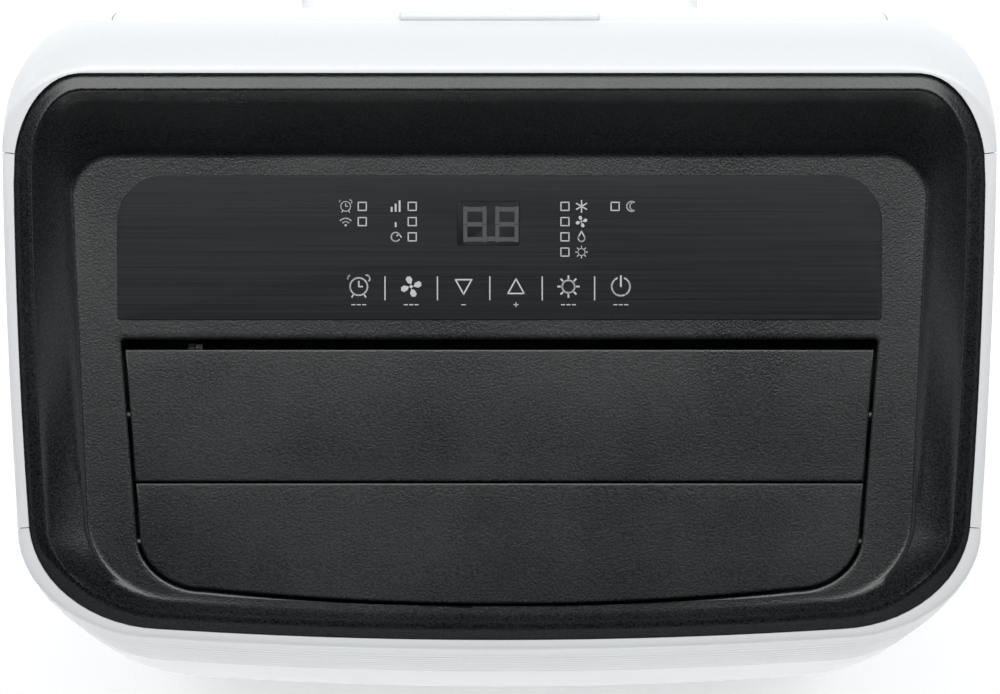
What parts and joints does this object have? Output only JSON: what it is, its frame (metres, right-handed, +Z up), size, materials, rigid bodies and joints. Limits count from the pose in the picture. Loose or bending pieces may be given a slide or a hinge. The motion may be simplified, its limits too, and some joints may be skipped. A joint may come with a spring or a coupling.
{
  "type": "portable air conditioner",
  "caption": "Floor-standing cabinet air conditioner on casters, with a top control bowl, a louvred top air outlet, a rear intake grille and a rear hose outlet.",
  "frame": {"origin": "on the floor under the middle of the cabinet", "axes": "+Z up, +X to the right of someone facing the front, the front faces -Y"},
  "size_m": [0.44, 0.35, 0.7004],
  "materials": {
    "white_shell": "satin moulded",
    "black_shell": "fine textured",
    "film": "brushed metallic film",
    "window": "smooth dark window",
    "board": "green circuit board",
    "inner": "moulded",
    "mesh": "filter net in frame",
    "fins": "finned",
    "steel": "satin black paint",
    "copper": "copper tube",
    "rubber": "matt",
    "wheel": "caster tread"
  },
  "bodies": {
    "cabinet": {"front_panel": "white_shell", "left_side_panel": "white_shell", "right_side_panel": "white_shell", "rear_cover": "white_shell", "exhaust_frame": "white_shell", "exhaust_guard": "black_shell", "cord_gland": "black_shell", "left_handle": "black_shell", "right_handle": "black_shell", "top_bezel": "black_shell", "outlet_duct": "black_shell", "control_film": "film", "display_window": "window", "display_board": "board", "main_board": "board", "compressor_foot_1": "rubber", "compressor_foot_2": "rubber", "compressor_foot_3": "rubber", "louvre_motor": "steel", "upper_fan_motor": "steel", "lower_fan_motor": "steel", "run_capacitor": "steel", "compressor": "steel", "accumulator": "steel", "upper_fan_housing": "inner", "lower_fan_housing": "inner", "divider_tray": "inner", "control_box": "inner", "exhaust_duct": "inner", "base_tray": "inner", "evaporator": "fins", "condenser": "fins", "suction_pipe": "copper", "discharge_pipe": "copper"},
    "rear_louvre": {"rear_louvre": "black_shell"},
    "front_louvre": {"front_louvre": "black_shell"},
    "louvre_link": {"louvre_link": "black_shell"},
    "vane_link": {"vane_link": "black_shell"},
    "upper_fan": {"upper_fan_wheel": "black_shell"},
    "lower_fan": {"lower_fan_wheel": "black_shell"},
    "intake_panel": {"intake_grille": "white_shell", "intake_filter": "mesh"},
    "upper_drain_plug": {"upper_drain_plug": "inner"},
    "lower_drain_plug": {"lower_drain_plug": "inner"},
    "air_vane_1": {"air_vane_1": "black_shell"},
    "air_vane_2": {"air_vane_2": "black_shell"},
    "air_vane_3": {"air_vane_3": "black_shell"},
    "air_vane_4": {"air_vane_4": "black_shell"},
    "air_vane_5": {"air_vane_5": "black_shell"},
    "air_vane_6": {"air_vane_6": "black_shell"},
    "front_left_caster": {"front_left_caster_body": "black_shell"},
    "front_left_wheels": {"front_left_caster_wheels": "wheel"},
    "front_right_caster": {"front_right_caster_body": "black_shell"},
    "front_right_wheels": {"front_right_caster_wheels": "wheel"},
    "rear_left_caster": {"rear_left_caster_body": "black_shell"},
    "rear_left_wheels": {"rear_left_caster_wheels": "wheel"},
    "rear_right_caster": {"rear_right_caster_body": "black_shell"},
    "rear_right_wheels": {"rear_right_caster_wheels": "wheel"}
  },
  "joints": [
    {"name": "rear_louvre_turn", "type": "hinge", "parent": "cabinet", "child": "rear_louvre", "pos_m": [0, -0.03085, 0.65416], "axis": [-1, 0, 0], "range_deg": [0, 70]},
    {"name": "front_louvre_turn", "type": "hinge", "parent": "cabinet", "child": "front_louvre", "pos_m": [0, -0.08785, 0.65131], "axis": [-1, 0, 0], "range_deg": [0, 70]},
    {"name": "louvre_link_turn", "type": "hinge", "parent": "rear_louvre", "child": "louvre_link", "pos_m": [-0.135, -0.00285, 0.64616], "axis": [-1, 0, 0], "range_deg": [-70, 0]},
    {"name": "air_vane_1_turn", "type": "hinge", "parent": "cabinet", "child": "air_vane_1", "pos_m": [-0.125, -0.05665, 0.59], "axis": [0, 0, 1], "range_deg": [-35, 35]},
    {"name": "air_vane_2_turn", "type": "hinge", "parent": "cabinet", "child": "air_vane_2", "pos_m": [-0.075, -0.05665, 0.59], "axis": [0, 0, 1], "range_deg": [-35, 35]},
    {"name": "air_vane_3_turn", "type": "hinge", "parent": "cabinet", "child": "air_vane_3", "pos_m": [-0.025, -0.05665, 0.59], "axis": [0, 0, 1], "range_deg": [-35, 35]},
    {"name": "air_vane_4_turn", "type": "hinge", "parent": "cabinet", "child": "air_vane_4", "pos_m": [0.025, -0.05665, 0.59], "axis": [0, 0, 1], "range_deg": [-35, 35]},
    {"name": "air_vane_5_turn", "type": "hinge", "parent": "cabinet", "child": "air_vane_5", "pos_m": [0.075, -0.05665, 0.59], "axis": [0, 0, 1], "range_deg": [-35, 35]},
    {"name": "air_vane_6_turn", "type": "hinge", "parent": "cabinet", "child": "air_vane_6", "pos_m": [0.125, -0.05665, 0.59], "axis": [0, 0, 1], "range_deg": [-35, 35]},
    {"name": "vane_link_turn", "type": "hinge", "parent": "air_vane_1", "child": "vane_link", "pos_m": [-0.125, -0.08065, 0.583], "axis": [0, 0, 1], "range_deg": [-35, 35]},
    {"name": "upper_fan_spin", "type": "hinge", "parent": "cabinet", "child": "upper_fan", "pos_m": [0, -0.048, 0.494], "axis": [0, 1, 0], "continuous": true},
    {"name": "lower_fan_spin", "type": "hinge", "parent": "cabinet", "child": "lower_fan", "pos_m": [0.062, -0.018, 0.168], "axis": [0, 1, 0], "continuous": true},
    {"name": "intake_panel_tilt", "type": "hinge", "parent": "cabinet", "child": "intake_panel", "pos_m": [0, 0.165, 0.4215], "axis": [-1, 0, 0], "range_deg": [0, 25]},
    {"name": "upper_drain_pull", "type": "slide", "parent": "cabinet", "child": "upper_drain_plug", "axis": [0, 1, 0], "range_m": [0, 0.03]},
    {"name": "lower_drain_pull", "type": "slide", "parent": "cabinet", "child": "lower_drain_plug", "axis": [0, 1, 0], "range_m": [0, 0.03]},
    {"name": "front_left_swivel", "type": "hinge", "parent": "cabinet", "child": "front_left_caster", "pos_m": [-0.158, -0.118, 0.042], "axis": [0, 0, 1], "continuous": true},
    {"name": "front_left_roll", "type": "hinge", "parent": "front_left_caster", "child": "front_left_wheels", "pos_m": [-0.158, -0.106, 0.02], "axis": [1, 0, 0], "continuous": true},
    {"name": "front_right_swivel", "type": "hinge", "parent": "cabinet", "child": "front_right_caster", "pos_m": [0.158, -0.118, 0.042], "axis": [0, 0, 1], "continuous": true},
    {"name": "front_right_roll", "type": "hinge", "parent": "front_right_caster", "child": "front_right_wheels", "pos_m": [0.158, -0.106, 0.02], "axis": [1, 0, 0], "continuous": true},
    {"name": "rear_left_swivel", "type": "hinge", "parent": "cabinet", "child": "rear_left_caster", "pos_m": [-0.158, 0.112, 0.042], "axis": [0, 0, 1], "continuous": true},
    {"name": "rear_left_roll", "type": "hinge", "parent": "rear_left_caster", "child": "rear_left_wheels", "pos_m": [-0.158, 0.124, 0.02], "axis": [1, 0, 0], "continuous": true},
    {"name": "rear_right_swivel", "type": "hinge", "parent": "cabinet", "child": "rear_right_caster", "pos_m": [0.158, 0.112, 0.042], "axis": [0, 0, 1], "continuous": true},
    {"name": "rear_right_roll", "type": "hinge", "parent": "rear_right_caster", "child": "rear_right_wheels", "pos_m": [0.158, 0.124, 0.02], "axis": [1, 0, 0], "continuous": true}
  ],
  "couplings": [
    {"joint": "front_louvre_turn", "follows": "rear_louvre_turn", "ratio": 1},
    {"joint": "louvre_link_turn", "follows": "rear_louvre_turn", "ratio": -1},
    {"joint": "air_vane_2_turn", "follows": "air_vane_1_turn", "ratio": 1},
    {"joint": "air_vane_3_turn", "follows": "air_vane_1_turn", "ratio": 1},
    {"joint": "air_vane_4_turn", "follows": "air_vane_1_turn", "ratio": 1},
    {"joint": "air_vane_5_turn", "follows": "air_vane_1_turn", "ratio": 1},
    {"joint": "air_vane_6_turn", "follows": "air_vane_1_turn", "ratio": 1},
    {"joint": "vane_link_turn", "follows": "air_vane_1_turn", "ratio": -1}
  ]
}
